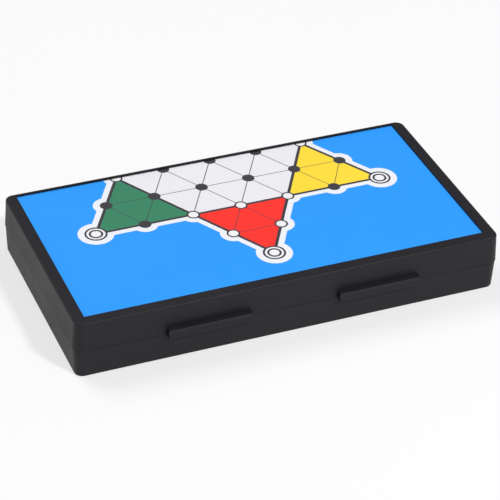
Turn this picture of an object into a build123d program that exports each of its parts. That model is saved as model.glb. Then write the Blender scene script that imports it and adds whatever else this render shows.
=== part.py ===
from build123d import *
import os
from math import radians, tan

# A folding travel case for board games, closed. Millimetres, +Z up, +Y towards the hinge,
# origin at the middle of the closed case's footprint. The two halves are hinged trays:
# each outer face carries half of a magnetic game board, and the game pieces lie inside.

# The case
case_length = 249.6        # outer face, left to right
case_depth = 130.0         # outer face, front to back
tray_height = 17.1         # one half, from its outer face to the parting
parting_gap = 0.4
wall = 2.0
corner_radius = 4.8
edge_radius = 0.9          # round along the edge of each outer face
base_draft = 2.2           # degrees, each wall leans out towards the parting
lid_draft = 3.2            # the lid leans out a little more and so stands proud of the base

# The board set into each outer face
side_rim = 6.75            # plastic left between the board and each end
front_rim = 6.6
back_rim = 1.75            # narrow, so that the two halves of the board meet when the case is open
board_sink = 1.1           # from the rim down to the printed face
print_thickness = 0.3
steel_thickness = 0.4
sheet_clearance = 0.15     # round the edges of every sheet

# Inside the trays
bed_floor = 1.6            # plastic under the board
rib = 1.2
rib_drop = 1.2             # from the parting down to the top of the dividers
column_count = 4           # small compartments, left to right
lip_height = 1.2           # locating lip on the base's rim
lip_inset = 1.1            # from the base's outer wall to the lip
lip_clearance = 0.25
lip_end = 9.0              # the lip stops this far short of the back

# The hinge
hinge_inset = 49.8         # from each end of the case to the middle of a hinge
knuckle_count = 3          # per hinge, the outer ones on the base
knuckle_length = 13.0
knuckle_gap = 0.4
knuckle_radius = 3.0
knuckle_clearance = 0.3
back_gap = 0.2             # between the two back walls when the case lies open
pin_radius = 1.0
pin_recess = 0.3           # each end of a pin lies this far inside the knuckles
pin_press = 0.01           # radial gap in the base's knuckles
pin_running = 0.08         # radial gap in the lid's knuckles

# The thumb ledges of the lid
ledge_inset = 74.8         # from each end of the case to the middle of a ledge
ledge_length = 48.2
ledge_proud = 3.8          # out from the lid's wall
ledge_above = 4.7          # over the parting
ledge_below = 1.1          # the lip that hangs over the base
ledge_round = 0.6
grip_sag = 0.5             # hollow of the ledge's front face
ledge_clearance = 0.25     # from the lip to the base's wall
bead_length = 24.0
bead_radius = 0.4
bead_proud = 0.17
bead_drop = 0.4            # from the base's rim down to the bead
groove_depth = 0.3

# The game pieces
piece_magnet_height = 1.5
magnet_fit = 0.1           # round a magnet in its pocket
disc_count = 12            # in each row, which sets the discs' diameter
disc_height = 5.0
disc_magnet = 7.0          # side of the square magnet
disc_gap = 0.7
row_end = 1.3              # beyond the last disc of a row
row_clearance = 0.6        # beside a row of discs
cone_count = 4
cone_sides = 10
foot_radius = 5.4
foot_height = 1.6
cone_radius = 4.5
cone_taper = 14.0          # degrees
cone_height = 10.5
cone_magnet = 5.0
cone_pitch = 13.0
cell_clearance = 1.5       # from a compartment's back rib to the pieces in it
dice_size = 9.0
dice_pitch = 14.0
dice_corner = 0.8

# The exchangeable board halves kept in the lid
spare_names = ("spare_sheet_left", "spare_sheet_right", "draughts_sheet_left", "draughts_sheet_right")
spare_thickness = 0.4
spare_border = 1.0         # smaller than the bed on every side
tab_width = 9.0
tab_height = 1.2
tab_gap = 0.15
tab_reach = 1.8            # over the edge of the sheets
side_tab_inset = 35.0      # from the front and the back of the case to the middle of a tab
front_tab_inset = 69.8     # from each end of the case to the middle of a tab

# Places worked out from the sizes above
case_height = 2 * tray_height + parting_gap
lid_rim_z = case_height - tray_height
front, back = -case_depth / 2, case_depth / 2
base_lean = tray_height * tan(radians(base_draft))
lid_lean = tray_height * tan(radians(lid_draft))
hinge_y = back + (base_lean + lid_lean + back_gap) / 2
hinge_z = case_height / 2
hinge_spacing = case_length - 2 * hinge_inset
ledge_spacing = case_length - 2 * ledge_inset
board_length = case_length - 2 * side_rim
board_depth = case_depth - front_rim - back_rim
board_back = back - back_rim
board_middle = board_back - board_depth / 2
bed_depth = board_sink + print_thickness + steel_thickness
floor_top = bed_depth + bed_floor
plateau_front = board_back - board_depth - bed_floor
plateau_half = board_length / 2 + bed_floor
inner_back = back - wall
inner_half = case_length / 2 - wall
mid_wall = wall / 2


def level(half, height):
    """Plane of one half at a height above its own outer face, looking into the tray."""
    if half == "base":
        return Plane.XY.offset(height)
    return Plane(origin=(0, 0, case_height - height), x_dir=(-1, 0, 0), z_dir=(0, 0, -1))


def outline(growth):
    """Plan of the case, grown by as much on every side."""
    RectangleRounded(case_length + 2 * growth, case_depth + 2 * growth, corner_radius + growth)


def tray_shell(half, draft_angle):
    """Drafted walls, and a floor of even thickness that steps in over the board's bed."""
    with BuildSketch(level(half, 0)) as outer_face:
        outline(0)
    extrude(outer_face.sketch, amount=tray_height, taper=-draft_angle)
    with BuildSketch(level(half, 0)) as inner_face:
        outline(-wall)
    extrude(inner_face.sketch, amount=tray_height, taper=-draft_angle, mode=Mode.SUBTRACT)
    with BuildSketch(level(half, 0)) as rim_floor:
        outline(-mid_wall)
    extrude(rim_floor.sketch, amount=bed_floor)
    outer_edges = edges().group_by(Axis.Z)[0 if half == "base" else -1]
    fillet(outer_edges, edge_radius)
    with BuildSketch(level(half, 0)) as plateau:
        with Locations((0, (plateau_front + back - mid_wall) / 2)):
            Rectangle(2 * plateau_half, back - mid_wall - plateau_front)
    extrude(plateau.sketch, amount=floor_top)


def board_bed(half):
    """The sunk bed for the steel sheet and the print."""
    with BuildSketch(level(half, 0)) as bed:
        with Locations((0, board_middle)):
            Rectangle(board_length, board_depth)
    extrude(bed.sketch, amount=bed_depth, mode=Mode.SUBTRACT)


def steps(count, pitch):
    """Evenly spaced values about zero."""
    return [(index - (count - 1) / 2) * pitch for index in range(count)]


def knuckle_places(half):
    """Middles, along X, of the knuckles that one half carries on its two hinges."""
    places = steps(knuckle_count, knuckle_length + knuckle_gap)
    own = places[0::2] if half == "base" else places[1::2]
    return [hinge + place for hinge in steps(2, hinge_spacing) for place in own]


def bars(centres, length, y, z, radius, mode=Mode.ADD):
    """Round bars along X, one at each centre."""
    for x in centres:
        with BuildSketch(Plane.YZ.offset(x - length / 2)) as section:
            with Locations((y, z)):
                Circle(radius)
        extrude(section.sketch, amount=length, mode=mode)


def hinge_edge(half, other, bore_gap):
    """Knuckles of one half, pockets for those of the other, and the bore for the pins."""
    pocket = knuckle_length + 2 * knuckle_gap
    pocket_radius = knuckle_radius + knuckle_clearance
    places = knuckle_places(half)
    bars(knuckle_places(other), pocket, hinge_y, hinge_z, pocket_radius, Mode.SUBTRACT)
    bars(places, knuckle_length, hinge_y, hinge_z, knuckle_radius)
    bars(places, knuckle_length, hinge_y, hinge_z, pin_radius + bore_gap, Mode.SUBTRACT)


def sheet(half, low, thickness, border):
    """Flat sheet of the board's shape, from a height above the outer face inwards."""
    with BuildSketch(level(half, low)) as face:
        with Locations((0, board_middle)):
            Rectangle(board_length - 2 * border, board_depth - 2 * border)
    extrude(face.sketch, amount=thickness)


def square_blocks(places, side, mode=Mode.ADD):
    """Square magnets, or the pockets for them, standing on the base's floor."""
    with BuildSketch(level("base", floor_top)) as squares:
        with Locations(*places):
            Rectangle(side, side)
    extrude(squares.sketch, amount=piece_magnet_height, mode=mode)


# Rows of the base, from the front: two for the discs, then two of small compartments
disc_room = 2 * (plateau_half - row_end) - (disc_count - 1) * disc_gap
disc_radius = disc_room / disc_count / 2
row_depth = 2 * (disc_radius + row_clearance)
first_rib = plateau_front + row_depth + rib / 2
second_rib = first_rib + row_depth + rib
third_rib = (second_rib + inner_back) / 2
column_pitch = (2 * inner_half + rib) / column_count
rib_top = tray_height - rib_drop

ledge_places = steps(2, ledge_spacing)
bead_z = tray_height - bead_drop
bead_wall = front - bead_z * tan(radians(base_draft))
lip_face = front - base_lean - ledge_clearance
ledge_face = front - lid_lean - ledge_proud
ledge_top = hinge_z + ledge_above
ledge_foot = hinge_z - ledge_below

with BuildPart() as base_tray:
    tray_shell("base", base_draft)
    # Dividers, run into the walls at both ends
    with BuildSketch():
        for y in (first_rib, second_rib, third_rib):
            with Locations((0, y)):
                Rectangle(2 * (inner_half + mid_wall), rib)
        for x in steps(column_count - 1, column_pitch):
            with Locations((x, (second_rib + back - mid_wall) / 2)):
                Rectangle(rib, back - mid_wall - second_rib)
    extrude(amount=rib_top)
    board_bed("base")
    # Locating lip round the front and the sides
    with BuildSketch(level("base", tray_height)):
        outline(base_lean - lip_inset)
        with Locations((0, back)):
            Rectangle(2 * case_length, 2 * lip_end, mode=Mode.SUBTRACT)
    extrude(amount=lip_height)
    with BuildSketch(level("base", tray_height)):
        outline(base_lean - wall)
    extrude(amount=lip_height, mode=Mode.SUBTRACT)
    # Catch beads on the front wall, behind the lid's ledges
    bead_y = bead_wall - bead_proud + bead_radius
    bars(ledge_places, bead_length, bead_y, bead_z, bead_radius)
    hinge_edge("base", "lid", pin_press)
base_tray.part.label = "base_tray"

with BuildPart() as lid_tray:
    tray_shell("lid", lid_draft)
    board_bed("lid")
    # Rebate for the base's lip
    with BuildSketch(Plane.XY.offset(lid_rim_z)):
        outline(base_lean - lip_inset + lip_clearance)
        with Locations((0, back)):
            Rectangle(2 * case_length, 2 * (lip_end - lip_clearance), mode=Mode.SUBTRACT)
    extrude(amount=lip_height, mode=Mode.SUBTRACT)
    # Thumb ledges with a hollow front face and a lip that hangs over the base's wall
    for x in ledge_places:
        with BuildSketch(Plane.YZ.offset(x - ledge_length / 2)) as ledge:
            with BuildLine():
                Polyline(
                    (ledge_face, ledge_top),
                    (front - mid_wall, ledge_top),
                    (front - mid_wall, lid_rim_z),
                    (lip_face, lid_rim_z),
                    (lip_face, ledge_foot),
                    (ledge_face, ledge_foot),
                )
                ThreePointArc(
                    (ledge_face, ledge_foot),
                    (ledge_face + grip_sag, (ledge_foot + ledge_top) / 2),
                    (ledge_face, ledge_top),
                )
            make_face()
            fillet(ledge.vertices().group_by(Axis.Y)[0], ledge_round)
        extrude(amount=ledge_length)
    groove_y = lip_face - groove_depth + bead_radius
    bars(ledge_places, bead_length + 2 * groove_depth, groove_y, bead_z, bead_radius, Mode.SUBTRACT)
    # Snap tabs that hold the spare board halves against the lid's floor
    tab_level = floor_top + len(spare_names) * spare_thickness + tab_gap
    sheet_half = board_length / 2 - spare_border - tab_reach
    sheet_front = board_back - board_depth + spare_border + tab_reach
    with BuildSketch(level("lid", tab_level)):
        reach = inner_half + mid_wall - sheet_half
        for side in (-1, 1):
            for y in steps(2, case_depth - 2 * side_tab_inset):
                with Locations((side * (sheet_half + reach / 2), y)):
                    Rectangle(reach, tab_width)
        reach = sheet_front - front - mid_wall
        for x in steps(2, case_length - 2 * front_tab_inset):
            with Locations((x, sheet_front - reach / 2)):
                Rectangle(tab_width, reach)
    extrude(amount=tab_height)
    hinge_edge("lid", "base", pin_running)
lid_tray.part.label = "lid_tray"

with BuildPart() as base_board_print:
    sheet("base", board_sink, print_thickness, sheet_clearance)
base_board_print.part.label = "base_board_print"

with BuildPart() as lid_board_print:
    sheet("lid", board_sink, print_thickness, sheet_clearance)
lid_board_print.part.label = "lid_board_print"

with BuildPart() as base_steel_sheet:
    sheet("base", board_sink + print_thickness, steel_thickness, sheet_clearance)
base_steel_sheet.part.label = "base_steel_sheet"

with BuildPart() as lid_steel_sheet:
    sheet("lid", board_sink + print_thickness, steel_thickness, sheet_clearance)
lid_steel_sheet.part.label = "lid_steel_sheet"

# Spare board halves, stacked under the lid's tabs
spare_sheets = []
for index, name in enumerate(spare_names):
    with BuildPart() as spare:
        sheet("lid", floor_top + index * spare_thickness, spare_thickness, spare_border)
    spare.part.label = name
    spare_sheets.append(spare.part)

# Wire pins of the two hinges
hinge_length = knuckle_count * knuckle_length + (knuckle_count - 1) * knuckle_gap
pins = []
for name, x in zip(("hinge_pin_left", "hinge_pin_right"), steps(2, hinge_spacing)):
    with BuildPart() as pin:
        bars([x], hinge_length - 2 * pin_recess, hinge_y, hinge_z, pin_radius)
    pin.part.label = name
    pins.append(pin.part)

# Draughts discs, a row of each colour, with a square magnet let into each underside
disc_places = {}
disc_sets = []
for name, low in (("draughts_white", plateau_front), ("draughts_black", first_rib + rib / 2)):
    places = [(x, low + row_depth / 2) for x in steps(disc_count, 2 * disc_radius + disc_gap)]
    with BuildPart() as discs:
        with BuildSketch(level("base", floor_top)):
            with Locations(*places):
                Circle(disc_radius)
        extrude(amount=disc_height)
        square_blocks(places, disc_magnet + 2 * magnet_fit, Mode.SUBTRACT)
    discs.part.label = name
    disc_sets.append(discs.part)
    disc_places[name] = places

with BuildPart() as draughts_magnets:
    for places in disc_places.values():
        square_blocks(places, disc_magnet)
draughts_magnets.part.label = "draughts_magnets"

# Small compartments, from the front left: middle along X and the edge of the rib behind
cells = []
for cell_back in (third_rib - rib / 2, inner_back):
    for x in steps(column_count, column_pitch):
        cells.append((x, cell_back - cell_clearance))

# Faceted halma cones, one colour in each compartment, each with a magnet in its foot
cone_names = ("halma_red", "halma_yellow", "halma_green", "halma_blue", "halma_orange", "halma_purple")
cone_places = {}
cone_sets = []
for name, (cell_x, cell_y) in zip(cone_names, cells):
    places = [(cell_x + x, cell_y - foot_radius) for x in steps(cone_count, cone_pitch)]
    with BuildPart() as cones:
        with BuildSketch(level("base", floor_top)):
            with Locations(*places):
                RegularPolygon(foot_radius, cone_sides)
        extrude(amount=foot_height)
        with BuildSketch(level("base", floor_top + foot_height)):
            with Locations(*places):
                RegularPolygon(cone_radius, cone_sides)
        extrude(amount=cone_height - foot_height, taper=cone_taper)
        square_blocks(places, cone_magnet + 2 * magnet_fit, Mode.SUBTRACT)
    cones.part.label = name
    cone_sets.append(cones.part)
    cone_places[name] = places

with BuildPart() as halma_magnets:
    for places in cone_places.values():
        square_blocks(places, cone_magnet)
halma_magnets.part.label = "halma_magnets"

with BuildPart() as dice:
    dice_x, dice_back = cells[len(cone_names)]
    with BuildSketch(level("base", floor_top)):
        with Locations(*[(dice_x + x, dice_back - dice_size / 2) for x in steps(2, dice_pitch)]):
            Rectangle(dice_size, dice_size)
    extrude(amount=dice_size)
    chamfer(dice.edges(), dice_corner)
dice.part.label = "dice"

finished = [
    base_tray.part,
    lid_tray.part,
    base_board_print.part,
    lid_board_print.part,
    base_steel_sheet.part,
    lid_steel_sheet.part,
    *spare_sheets,
    *pins,
    *disc_sets,
    draughts_magnets.part,
    *cone_sets,
    halma_magnets.part,
    dice.part,
]
os.makedirs("parts", exist_ok=True)
for piece in finished:
    export_step(piece, f"parts/{piece.label}.step")
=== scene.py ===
from math import cos, radians, sin, tau

import bmesh
import bpy
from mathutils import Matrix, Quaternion, Vector, geometry


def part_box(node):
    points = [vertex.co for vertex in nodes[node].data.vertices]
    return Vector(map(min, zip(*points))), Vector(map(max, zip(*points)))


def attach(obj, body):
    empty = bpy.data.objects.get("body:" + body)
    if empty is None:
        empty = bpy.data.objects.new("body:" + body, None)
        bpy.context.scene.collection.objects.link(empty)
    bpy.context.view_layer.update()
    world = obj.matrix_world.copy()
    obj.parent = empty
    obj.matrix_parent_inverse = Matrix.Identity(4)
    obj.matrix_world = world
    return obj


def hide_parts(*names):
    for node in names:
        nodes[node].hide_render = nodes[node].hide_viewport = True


# The dressed model of a folding case for magnetic board games. Lengths in the scene are metres,
# so a size in millimetres is written times MM.

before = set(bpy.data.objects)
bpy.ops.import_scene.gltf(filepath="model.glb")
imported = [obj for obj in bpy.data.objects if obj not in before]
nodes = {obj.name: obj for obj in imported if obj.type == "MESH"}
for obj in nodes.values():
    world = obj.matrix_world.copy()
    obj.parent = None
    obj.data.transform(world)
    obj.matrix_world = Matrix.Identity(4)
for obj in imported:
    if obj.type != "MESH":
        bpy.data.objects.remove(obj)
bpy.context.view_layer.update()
MM = 0.001

# The camera of the photograph
CAMERA_EYE = (-400.99 * MM, -927.30 * MM, 720.92 * MM)
CAMERA_TARGET = (-2.71 * MM, -8.23 * MM, 17.3 * MM)
CAMERA_ROLL = radians(2.294)
CAMERA_LENS = 155.74       # in millimetres, as the sensor's width is
SENSOR_WIDTH = 36.0

# The studio, in metres and watts
VIEW_DEPTH = (0.05, 50.0)  # nearest and farthest that the camera sees
FLOOR_SIZE = 12.0
FLOOR_WHITE = (0.9, 0.9, 0.905, 1.0)
FLOOR_LIFT = 0.6           # share of pure white in the floor as it is seen
ROOM_TINT = 1.01           # of blue over red and green

# Height of the direction, from level to straight up, and the room's light from there
ROOM_STEPS = ((0.0, 0.95), (0.08, 0.70), (0.25, 0.22), (0.70, 0.14), (1.0, 0.40))

# Name, place, side and power of each lamp
LAMPS = (("key_light", (-0.9, 1.5, 2.6), 1.5, 44.0), ("front_light", (0.7, -1.55, 1.9), 0.3, 40.0))

# The clouds and the grain in every finish
CLOUD_DETAIL = 5.0
CLOUD_ROUGHNESS = 0.6
CLOUD_LOW, CLOUD_HIGH = 0.3, 0.7   # levels of the noise between which tone and gloss change
GRAIN_DETAIL = 3.0
GRAIN_STRENGTH = 0.6

# The star board printed across the two outer faces
LATTICE = 29.0 * MM        # between neighbouring places of the star
ROW = 24.8 * MM
THIN_LINE = 0.50 * MM
FAINT_LINE = 0.40 * MM     # the lattice inside the coloured corners
EDGE_LINE = 1.75 * MM      # round the coloured corners
BLACK_DOT = 3.65 * MM
WHITE_DOT = 3.85 * MM
WHITE_DOT_INSIDE = 2.8 * MM
TIP_RINGS = (6.5 * MM, 5.3 * MM, 4.1 * MM, 2.85 * MM)
HALO_STRIP = 4.2 * MM      # from the star's edge to the blue
HALO_DOT = 7.6 * MM
HALO_TIP = 10.3 * MM
ROUND_STEPS = 48

# Rows of the star from the hinge outwards: b black dot, w white dot, t tip
LID_ROWS = ("wbbbw", "bbbbbb", "tbwwwbt", "ww", "t")
BASE_ROWS = ("wbbbw", "wwbbww", "twwbwwt", "bb", "t")

# Places of half a star by column, counted from its middle line, and row, counted from the hinge
STAR_RIM = ((-2, 0), (-2.5, 1), (-3, 2), (-2, 2), (-1, 2), (-0.5, 3), (0, 4), (0.5, 3), (1, 2), (2, 2),
            (3, 2), (2.5, 1), (2, 0))
STAR_CORNERS = (((-2, 0), (-3, 2), (-1, 2)), ((-1, 2), (0, 4), (1, 2)), ((2, 0), (1, 2), (3, 2)))
STAR_MIDDLE = ((-2, 0), (-1, 2), (1, 2), (2, 0))
MIDDLE_STEPS = 2           # rows of the middle, and its half width in columns at the hinge
NEIGHBOURS = ((1, 0), (0.5, 1), (0.5, -1))  # steps from a place to those on its right

# The draughts board printed on the uppermost spare sheet
SQUARE = 29.0 * MM
BOARD_COLUMNS, BOARD_ROWS = 8, 4

# Limits of the mesh work
SHARP_ANGLE = radians(32)
CUT_TOLERANCE = 1e-4       # of the flat cutting, which is done in millimetres
SLIVER = 1e-8              # edges shorter than this are closed up
JOIN = 0.001 * MM          # corners closer than this are one
SQUARE_ON = 0.999          # share of a normal along an axis, from which a face is a side of a die

# Game pieces, turned about the middles of their magnets
DISC_STEPS = 120
CONE_STEPS = 60
REED_DEPTH = 0.12 * MM
REED_START = 9.3           # the grooves lie beyond this radius, in the millimetres of the profiles
DISC_ROUGHNESS = 0.32
CONE_ROUGHNESS = 0.27
DICE_ROUGHNESS = 0.2

# Radius and height of each bend in millimetres, from the magnet's pocket round the rim to the top
DISC_PROFILE = (
    (0, 1.6), (5.15, 1.6), (5.15, 0), (9.1, 0), (9.38, 0.12), (9.5, 0.4), (9.5, 4.5), (9.38, 4.82),
    (9.1, 5.0), (8.1, 5.0), (7.8, 4.92), (7.6, 4.55), (7.3, 4.45), (6.0, 4.45), (5.8, 4.55),
    (5.6, 4.8), (5.2, 4.85), (4.8, 4.8), (4.6, 4.55), (4.4, 4.45), (2.6, 4.45), (2.35, 4.6),
    (2.0, 4.8), (1.2, 4.9), (0, 4.93),
)
CONE_PROFILE = (
    (0, 1.55), (3.75, 1.55), (3.75, 0), (5.0, 0), (5.28, 0.12), (5.4, 0.4), (5.4, 0.85), (5.25, 1.25),
    (4.9, 1.55), (4.5, 1.72), (4.28, 2.1), (4.1, 2.8), (3.6, 4.8), (3.1, 6.8), (2.62, 8.7),
    (2.45, 9.3), (2.15, 9.85), (1.6, 10.25), (0.9, 10.44), (0, 10.5),
)

# Dice, with round pips sunk into their faces
DIE_CORNER = 0.8 * MM
DIE_CORNER_STEPS = 4
ROUND_CORNER = 0.5         # the bevel's shape for a quarter circle
PIP_RADIUS = 0.85 * MM
PIP_DEPTH = 0.4 * MM
PIP_PITCH = 2.3 * MM
PIP_STEPS = 18
PIP_RINGS = (1.0, 0.7, 0.35)
PIPS = {
    1: ((0, 0),),
    2: ((-1, 1), (1, -1)),
    3: ((-1, 1), (0, 0), (1, -1)),
    4: ((-1, -1), (-1, 1), (1, -1), (1, 1)),
    5: ((-1, -1), (-1, 1), (0, 0), (1, -1), (1, 1)),
    6: ((-1, -1), (-1, 0), (-1, 1), (1, -1), (1, 0), (1, 1)),
}
OPPOSITE_SUM = 7
DIE_TURNS = ((3, 1, 5), (1, 4, 2))  # values towards +X, +Y and +Z of the left and the right die


# Finishes


def linear(red, green, blue):
    """A colour of eight-bit screen values as linear values with full opacity."""
    channels = []
    for value in (red, green, blue):
        share = value / 255
        channels.append(share / 12.92 if share <= 0.04045 else ((share + 0.055) / 1.055) ** 2.4)
    return (*channels, 1.0)


def shaded(colour, factor):
    """The same colour, darker or lighter by a factor."""
    return (*[min(1.0, channel * factor) for channel in colour[:3]], 1.0)


def noise(tree, place, size, detail):
    """Noise of some size of pattern, fixed to the object."""
    texture = tree.nodes.new("ShaderNodeTexNoise")
    texture.inputs["Scale"].default_value = 1 / size
    texture.inputs["Detail"].default_value = detail
    tree.links.new(place.outputs["Object"], texture.inputs["Vector"])
    return texture


def surface(name, colour, rough, tone=0.04, tone_size=20 * MM, grain=0.0, grain_size=0.5 * MM,
            rough_spread=0.06, metal=0.0, ior=1.5):
    """A procedural finish: soft changes of tone and of gloss, and a fine grain in the surface."""
    material = bpy.data.materials.new(name)
    material.use_nodes = True
    tree = material.node_tree
    shader = tree.nodes["Principled BSDF"]
    shader.inputs["Metallic"].default_value = metal
    shader.inputs["IOR"].default_value = ior
    place = tree.nodes.new("ShaderNodeTexCoord")
    cloud = noise(tree, place, tone_size, CLOUD_DETAIL)
    cloud.inputs["Roughness"].default_value = CLOUD_ROUGHNESS
    ramp = tree.nodes.new("ShaderNodeValToRGB")
    darkest, lightest = ramp.color_ramp.elements
    darkest.position = CLOUD_LOW
    lightest.position = CLOUD_HIGH
    darkest.color = shaded(colour, 1 - tone)
    lightest.color = shaded(colour, 1 + tone)
    tree.links.new(cloud.outputs["Fac"], ramp.inputs["Fac"])
    tree.links.new(ramp.outputs["Color"], shader.inputs["Base Color"])
    gloss = tree.nodes.new("ShaderNodeMapRange")
    gloss.inputs["From Min"].default_value = CLOUD_LOW
    gloss.inputs["From Max"].default_value = CLOUD_HIGH
    gloss.inputs["To Min"].default_value = rough - rough_spread
    gloss.inputs["To Max"].default_value = rough + rough_spread
    tree.links.new(cloud.outputs["Fac"], gloss.inputs["Value"])
    tree.links.new(gloss.outputs["Result"], shader.inputs["Roughness"])
    if grain:
        grains = noise(tree, place, grain_size, GRAIN_DETAIL)
        bump = tree.nodes.new("ShaderNodeBump")
        bump.inputs["Strength"].default_value = GRAIN_STRENGTH
        bump.inputs["Distance"].default_value = grain
        tree.links.new(grains.outputs["Fac"], bump.inputs["Height"])
        tree.links.new(bump.outputs["Normal"], shader.inputs["Normal"])
    return material


def ink(name, colour):
    """Printed and varnished ink."""
    return surface(name, colour, rough=0.42, tone=0.012, tone_size=35 * MM, grain=0.004 * MM,
                   grain_size=1.5 * MM, rough_spread=0.04, ior=1.33)


def moulded(name, colour, rough):
    """Smooth moulded plastic of the game pieces."""
    return surface(name, colour, rough, tone=0.03, tone_size=6 * MM, grain=0.006 * MM, grain_size=0.8 * MM)


case_plastic = surface("case_plastic", (0.0163, 0.0147, 0.0182, 1.0), rough=0.50, tone=0.10,
                       tone_size=28 * MM, grain=0.012 * MM, grain_size=0.45 * MM, rough_spread=0.04,
                       ior=1.29)
tinplate = surface("tinplate", (0.55, 0.56, 0.58, 1.0), rough=0.32, tone=0.05, metal=1.0, grain=0.004 * MM)
wire = surface("hinge_wire", (0.6, 0.6, 0.6, 1.0), rough=0.25, tone=0.06, tone_size=3 * MM, metal=1.0)
ferrite = surface("ferrite", (0.035, 0.032, 0.03, 1.0), rough=0.6, tone=0.12, tone_size=2 * MM,
                  grain=0.01 * MM)
card = surface("card", (0.78, 0.76, 0.70, 1.0), rough=0.6, tone=0.03, tone_size=10 * MM, grain=0.01 * MM,
               grain_size=0.3 * MM)

INKS = {
    "blue": ink("ink_blue", linear(44, 156, 253)),
    "halo": ink("ink_halo", linear(238, 240, 246)),
    "middle": ink("ink_middle", linear(235, 234, 239)),
    "dark": ink("ink_dark", linear(65, 63, 69)),
    "white": ink("ink_white", linear(241, 241, 244)),
    "green": ink("ink_green", linear(59, 134, 100)),
    "red": ink("ink_red", linear(251, 54, 46)),
    "yellow": ink("ink_yellow", linear(253, 221, 62)),
    "navy": ink("ink_navy", linear(48, 70, 178)),
    "orange": ink("ink_orange", linear(250, 140, 40)),
    "purple": ink("ink_purple", linear(126, 74, 160)),
    "cream": ink("ink_cream", linear(240, 228, 198)),
    "brown": ink("ink_brown", linear(74, 48, 38)),
}


def finish_mesh(name, body, build, materials):
    """A smooth-shaded piece on a body from a filled bmesh."""
    mesh = bpy.data.meshes.new(name)
    bmesh.ops.recalc_face_normals(build, faces=build.faces)
    build.to_mesh(mesh)
    build.free()
    for material in materials:
        mesh.materials.append(material)
    mesh.shade_smooth()
    mesh.set_sharp_from_angle(angle=SHARP_ANGLE)
    piece = bpy.data.objects.new(name, mesh)
    bpy.context.scene.collection.objects.link(piece)
    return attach(piece, body)


# Printed sheets: flat shapes laid over each other, cut into one skin where the uppermost shows


def around(steps):
    """Directions evenly round a circle."""
    return [Vector((cos(tau * k / steps), sin(tau * k / steps))) for k in range(steps)]


def spot(centre, radius):
    """A round shape."""
    return [centre + radius * direction for direction in around(ROUND_STEPS)]


def strip(start, end, width):
    """A straight line of some width."""
    side = (end - start).orthogonal().normalized() * width / 2
    return [start - side, end - side, end + side, start + side]


def in_middle(column, row):
    """Whether a point of the lattice lies in the star's pale middle, which narrows towards the front."""
    return row <= MIDDLE_STEPS and abs(column) <= MIDDLE_STEPS - row / 2


def star_shapes(rows, corner_inks, hinge_edge):
    """Shapes of half a star, from the lowest up: each is a list of corners and the name of an ink."""
    kinds, centres = {}, {}
    for row, letters in enumerate(rows):
        for index, letter in enumerate(letters):
            column = index - (len(letters) - 1) / 2
            kinds[column, row] = letter
            centres[column, row] = Vector((column * LATTICE, hinge_edge - row * ROW))
    shapes = []
    for place in STAR_RIM:
        shapes.append((spot(centres[place], HALO_TIP if kinds[place] == "t" else HALO_DOT), "halo"))
    for first, second in zip(STAR_RIM, STAR_RIM[1:]):
        shapes.append((strip(centres[first], centres[second], 2 * HALO_STRIP), "halo"))
    shapes.append(([centres[place] for place in STAR_MIDDLE], "middle"))
    for colour, corner in zip(corner_inks, STAR_CORNERS):
        shapes.append(([centres[place] for place in corner], colour))
    for first in sorted(centres):
        for second in sorted(centres):
            step = (second[0] - first[0], second[1] - first[1])
            along_hinge = first[1] == second[1] == 0
            if step in NEIGHBOURS and not along_hinge:
                halfway = ((first[0] + second[0]) / 2, (first[1] + second[1]) / 2)
                width = THIN_LINE if in_middle(*halfway) else FAINT_LINE
                shapes.append((strip(centres[first], centres[second], width), "dark"))
    for corner in STAR_CORNERS:
        for first, second in zip(corner, corner[1:] + corner[:1]):
            shapes.append((strip(centres[first], centres[second], EDGE_LINE), "dark"))
    for place, centre in centres.items():
        if kinds[place] == "t":
            for radius, colour in zip(TIP_RINGS, ("dark", "white", "dark", "white")):
                shapes.append((spot(centre, radius), colour))
        elif kinds[place] == "w":
            shapes += [(spot(centre, WHITE_DOT), "dark"), (spot(centre, WHITE_DOT_INSIDE), "white")]
        else:
            shapes.append((spot(centre, BLACK_DOT), "dark"))
    return shapes


def rectangle(low, high):
    """Corners of a rectangle whose sides run along X and Y."""
    return [Vector((low.x, low.y)), Vector((high.x, low.y)), Vector((high.x, high.y)),
            Vector((low.x, high.y))]


def chequer_shapes(low, high):
    """Dark squares of half a draughts board, centred on a sheet."""
    middle = (low + high) / 2
    shapes = []
    for column in range(BOARD_COLUMNS):
        for row in range(BOARD_ROWS):
            if (column + row) % 2:
                x = middle.x + (column - BOARD_COLUMNS / 2) * SQUARE
                y = middle.y + (row - BOARD_ROWS / 2) * SQUARE
                shapes.append((rectangle(Vector((x, y)), Vector((x + SQUARE, y + SQUARE))), "brown"))
    return shapes


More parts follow.
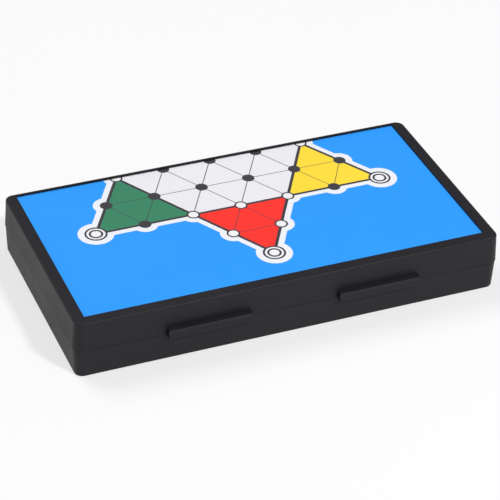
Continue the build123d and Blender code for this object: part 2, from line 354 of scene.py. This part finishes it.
def printed_sheet(name, node, body, ground, shapes, up):
    """A closed sheet in a CAD node's place whose printed side shows the shapes."""
    low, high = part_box(node)
    layers = [(rectangle(low, high), ground)] + shapes
    points, loops = [], []
    for corners, _ in layers:
        start = len(points)
        points += [corner / MM for corner in corners]
        loops.append(list(range(start, len(points))))
    cut, _, cells, _, _, sources = geometry.delaunay_2d_cdt(points, [], loops, 1, CUT_TOLERANCE)
    colours = [ground] + sorted({colour for _, colour in shapes} - {ground})
    printed, plain = (high.z, low.z) if up else (low.z, high.z)
    build = bmesh.new()
    vertices = {}
    for cell, source in zip(cells, sources):
        if 0 not in source:
            continue
        for index in cell:
            if index not in vertices:
                vertices[index] = build.verts.new((cut[index].x * MM, cut[index].y * MM, printed))
        face = build.faces.new([vertices[index] for index in cell])
        face.material_index = colours.index(layers[max(source)][1])
    bmesh.ops.dissolve_degenerate(build, dist=SLIVER, edges=build.edges)
    edge = [e for e in build.edges if e.is_boundary]
    grown = bmesh.ops.extrude_edge_only(build, edges=edge)["geom"]
    for item in grown:
        if isinstance(item, bmesh.types.BMVert):
            item.co.z = plain
    sides = [item for item in grown if isinstance(item, bmesh.types.BMFace)]
    back_edge = [e for e in build.edges if e.is_boundary]
    back = bmesh.ops.edgeloop_fill(build, edges=back_edge)["faces"]
    for face in back + sides:
        face.material_index = len(colours)
    piece = finish_mesh(name, body, build, [INKS[colour] for colour in colours] + [card])
    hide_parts(node)


lid_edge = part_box("lid_board_print")[1].y
printed_sheet("lid_star_board", "lid_board_print", "lid", "blue",
              star_shapes(LID_ROWS, ("green", "red", "yellow"), lid_edge), up=True)
base_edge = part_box("base_board_print")[1].y
printed_sheet("base_star_board", "base_board_print", "base", "blue",
              star_shapes(BASE_ROWS, ("orange", "navy", "purple"), base_edge), up=False)
sheet_low, sheet_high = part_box("draughts_sheet_right")
printed_sheet("draughts_board_half", "draughts_sheet_right", "lid", "cream",
              chequer_shapes(sheet_low, sheet_high), up=False)


# Game pieces, turned from a profile and set where their magnets stand


def magnet_places(magnets, pieces):
    """Middles of the separate blocks of one node that lie inside the box of another."""
    build = bmesh.new()
    build.from_mesh(nodes[magnets].data)
    bmesh.ops.remove_doubles(build, verts=build.verts, dist=JOIN)
    low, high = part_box(pieces)
    seen, places = set(), []
    for first in build.verts:
        if first in seen:
            continue
        seen.add(first)
        block = [first]
        for vertex in block:
            for edge in vertex.link_edges:
                other = edge.other_vert(vertex)
                if other not in seen:
                    seen.add(other)
                    block.append(other)
        middle = sum((vertex.co for vertex in block), Vector()) / len(block)
        if low.x < middle.x < high.x and low.y < middle.y < high.y:
            places.append((middle.x, middle.y))
    build.free()
    return sorted(places)


def turned(build, centre, floor, profile, steps):
    """Adds a body of revolution to a bmesh, closed at the axis, with reeds round a wide edge."""
    rings = []
    for radius, height in profile:
        z = floor + height * MM
        if radius == 0:
            rings.append([build.verts.new((*centre, z))])
            continue
        ring = []
        for k, direction in enumerate(around(steps)):
            groove = REED_DEPTH if k % 2 and radius > REED_START else 0.0
            reach = radius * MM - groove
            x = centre[0] + reach * direction.x
            y = centre[1] + reach * direction.y
            ring.append(build.verts.new((x, y, z)))
        rings.append(ring)
    for lower, upper in zip(rings, rings[1:]):
        for k in range(steps):
            after = (k + 1) % steps
            corners = [lower[k % len(lower)], lower[after % len(lower)], upper[after % len(upper)],
                       upper[k % len(upper)]]
            build.faces.new(list(dict.fromkeys(corners)))


def set_of_pieces(name, node, magnets, profile, steps, colour, rough):
    """All pieces of one colour as one piece of the scene."""
    build = bmesh.new()
    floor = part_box(node)[0].z
    for centre in magnet_places(magnets, node):
        turned(build, centre, floor, profile, steps)
    piece = finish_mesh(name, "base", build, [moulded(name + "_plastic", colour, rough)])
    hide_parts(node)


DISC_COLOURS = {"white": linear(236, 230, 212), "black": linear(40, 39, 41)}
for disc_colour, disc_value in DISC_COLOURS.items():
    set_of_pieces(disc_colour + "_draughts_discs", "draughts_" + disc_colour, "draughts_magnets",
                  DISC_PROFILE, DISC_STEPS, disc_value, DISC_ROUGHNESS)
CONE_COLOURS = {
    "red": linear(214, 40, 36), "yellow": linear(244, 205, 45), "green": linear(40, 130, 75),
    "blue": linear(40, 95, 200), "orange": linear(240, 130, 35), "purple": linear(120, 60, 150),
}
for cone_colour, cone_value in CONE_COLOURS.items():
    set_of_pieces(cone_colour + "_halma_cones", "halma_" + cone_colour, "halma_magnets", CONE_PROFILE,
                  CONE_STEPS, cone_value, CONE_ROUGHNESS)


def pipped_face(build, face, value):
    """Cuts a flat face of a die anew, with its pips as hollows."""
    middle, normal = face.calc_center_median(), face.normal.copy()
    across = (face.verts[1].co - face.verts[0].co).normalized()
    along = normal.cross(across)
    corners = list(face.verts)
    flat = [Vector(((v.co - middle).dot(across), (v.co - middle).dot(along))) for v in corners]
    centres = [PIP_PITCH * Vector(place) for place in PIPS[value]]
    points, loops = [corner / MM for corner in flat], [list(range(len(flat)))]
    for centre in centres:
        for ring in PIP_RINGS:
            loops.append(list(range(len(points), len(points) + PIP_STEPS)))
            points += [(centre + ring * PIP_RADIUS * direction) / MM for direction in around(PIP_STEPS)]
    cut, _, cells, _, _, sources = geometry.delaunay_2d_cdt(points, [], loops, 1, CUT_TOLERANCE)
    bmesh.ops.delete(build, geom=[face], context="FACES_ONLY")
    vertices = []
    for point in cut:
        place = point * MM
        shared = [v for v, corner in zip(corners, flat) if (corner - place).length < JOIN]
        reach = min((place - centre).length / PIP_RADIUS for centre in centres)
        depth = PIP_DEPTH * max(0.0, 1 - reach * reach)
        solid = middle + across * place.x + along * place.y - normal * depth
        vertices.append(shared[0] if shared else build.verts.new(solid))
    for cell, source in zip(cells, sources):
        facet = build.faces.new([vertices[index] for index in cell])
        facet.material_index = 1 if max(source) else 0


def die(centre, size, values):
    """One die with rounded edges as a bmesh."""
    build = bmesh.new()
    bmesh.ops.create_cube(build, size=size)
    bmesh.ops.bevel(build, geom=build.edges, offset=DIE_CORNER, segments=DIE_CORNER_STEPS,
                    profile=ROUND_CORNER, affect="EDGES")
    bmesh.ops.recalc_face_normals(build, faces=build.faces)
    sides = [face for face in build.faces if max(abs(part) for part in face.normal) > SQUARE_ON
             and face.calc_area() > size * size / 2]
    for side in sides:
        axis = max(range(3), key=lambda k: abs(side.normal[k]))
        value = values[axis] if side.normal[axis] > 0 else OPPOSITE_SUM - values[axis]
        pipped_face(build, side, value)
    bmesh.ops.translate(build, vec=centre, verts=build.verts)
    return build


def dice_pair():
    """The two dice as one piece of the scene."""
    low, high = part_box("dice")
    size = high.z - low.z
    both = bmesh.new()
    for x, values in zip((low.x + size / 2, high.x - size / 2), DIE_TURNS):
        one = die(Vector((x, (low.y + high.y) / 2, (low.z + high.z) / 2)), size, values)
        mesh = bpy.data.meshes.new("die")
        one.to_mesh(mesh)
        one.free()
        both.from_mesh(mesh)
        bpy.data.meshes.remove(mesh)
    plastic = moulded("dice_plastic", linear(243, 240, 230), DICE_ROUGHNESS)
    paint = surface("pip_paint", linear(34, 33, 36), rough=0.4, tone=0.05, tone_size=2 * MM, grain=0.004 * MM)
    piece = finish_mesh("pair_of_dice", "base", both, [plastic, paint])
    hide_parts("dice")


dice_pair()


# Materials of the CAD nodes that stay

NODE_MATERIALS = {
    case_plastic: ("base_tray", "lid_tray"),
    tinplate: ("base_steel_sheet", "lid_steel_sheet"),
    wire: ("hinge_pin_left", "hinge_pin_right"),
    ferrite: ("draughts_magnets", "halma_magnets"),
    card: ("spare_sheet_left", "spare_sheet_right", "draughts_sheet_left"),
}
for finish, dressed in NODE_MATERIALS.items():
    for node_name in dressed:
        nodes[node_name].data.materials.clear()
        nodes[node_name].data.materials.append(finish)


# Floor, light and camera

half = FLOOR_SIZE / 2
floor_mesh = bpy.data.meshes.new("floor")
floor_corners = [(-half, -half, 0), (half, -half, 0), (half, half, 0), (-half, half, 0)]
floor_mesh.from_pydata(floor_corners, [], [(0, 1, 2, 3)])
floor = bpy.data.objects.new("floor", floor_mesh)
bpy.context.scene.collection.objects.link(floor)
floor_paper = surface("floor_paper", FLOOR_WHITE, rough=0.85, tone=0.005, tone_size=300 * MM,
                      rough_spread=0.03, ior=1.3)
floor_mesh.materials.append(floor_paper)


def lift_towards_white(material):
    """Lifts a material towards white where it is seen, directly or in a mirror, not where it lights."""
    tree = material.node_tree
    rays = tree.nodes.new("ShaderNodeLightPath")
    seen = rays.outputs["Is Camera Ray"]
    for ray_kind in ("Is Glossy Ray", "Is Transmission Ray"):
        either = tree.nodes.new("ShaderNodeMath")
        either.operation = "MAXIMUM"
        tree.links.new(seen, either.inputs[0])
        tree.links.new(rays.outputs[ray_kind], either.inputs[1])
        seen = either.outputs["Value"]
    share = tree.nodes.new("ShaderNodeMath")
    share.operation = "MULTIPLY"
    share.inputs[1].default_value = FLOOR_LIFT
    white = tree.nodes.new("ShaderNodeEmission")
    mixed = tree.nodes.new("ShaderNodeMixShader")
    tree.links.new(seen, share.inputs[0])
    tree.links.new(share.outputs["Value"], mixed.inputs["Fac"])
    tree.links.new(tree.nodes["Principled BSDF"].outputs["BSDF"], mixed.inputs[1])
    tree.links.new(white.outputs["Emission"], mixed.inputs[2])
    tree.links.new(mixed.outputs["Shader"], tree.nodes["Material Output"].inputs["Surface"])


lift_towards_white(floor_paper)

world = bpy.data.worlds.new("studio")
bpy.context.scene.world = world
world.use_nodes = True
room_tree = world.node_tree
direction = room_tree.nodes.new("ShaderNodeTexCoord")
split = room_tree.nodes.new("ShaderNodeSeparateXYZ")
room = room_tree.nodes.new("ShaderNodeValToRGB")
for height, _ in ROOM_STEPS[1:-1]:
    room.color_ramp.elements.new(height)
for element, (height, level) in zip(room.color_ramp.elements, ROOM_STEPS):
    element.position = height
    element.color = (level, level, level * ROOM_TINT, 1.0)
room_tree.links.new(direction.outputs["Generated"], split.inputs["Vector"])
room_tree.links.new(split.outputs["Z"], room.inputs["Fac"])
room_tree.links.new(room.outputs["Color"], room_tree.nodes["Background"].inputs["Color"])


def softbox(name, place, side, power):
    """A square lamp that faces the object."""
    lamp = bpy.data.lights.new(name, "AREA")
    lamp.shape = "SQUARE"
    lamp.size = side
    lamp.energy = power
    holder = bpy.data.objects.new(name, lamp)
    holder.location = place
    holder.rotation_mode = "QUATERNION"
    holder.rotation_quaternion = (-Vector(place)).to_track_quat("-Z", "Y")
    bpy.context.scene.collection.objects.link(holder)


for lamp_name, lamp_place, lamp_side, lamp_power in LAMPS:
    softbox(lamp_name, lamp_place, lamp_side, lamp_power)

camera_data = bpy.data.cameras.new("camera")
camera_data.lens = CAMERA_LENS
camera_data.sensor_width = SENSOR_WIDTH
camera_data.clip_start, camera_data.clip_end = VIEW_DEPTH
camera = bpy.data.objects.new("camera", camera_data)
camera.location = CAMERA_EYE
camera.rotation_mode = "QUATERNION"
view_turn = (Vector(CAMERA_TARGET) - Vector(CAMERA_EYE)).to_track_quat("-Z", "Y")
camera.rotation_quaternion = view_turn @ Quaternion((0, 0, 1), CAMERA_ROLL)
bpy.context.scene.collection.objects.link(camera)
bpy.context.scene.camera = camera
bpy.context.scene.view_settings.view_transform = "Standard"
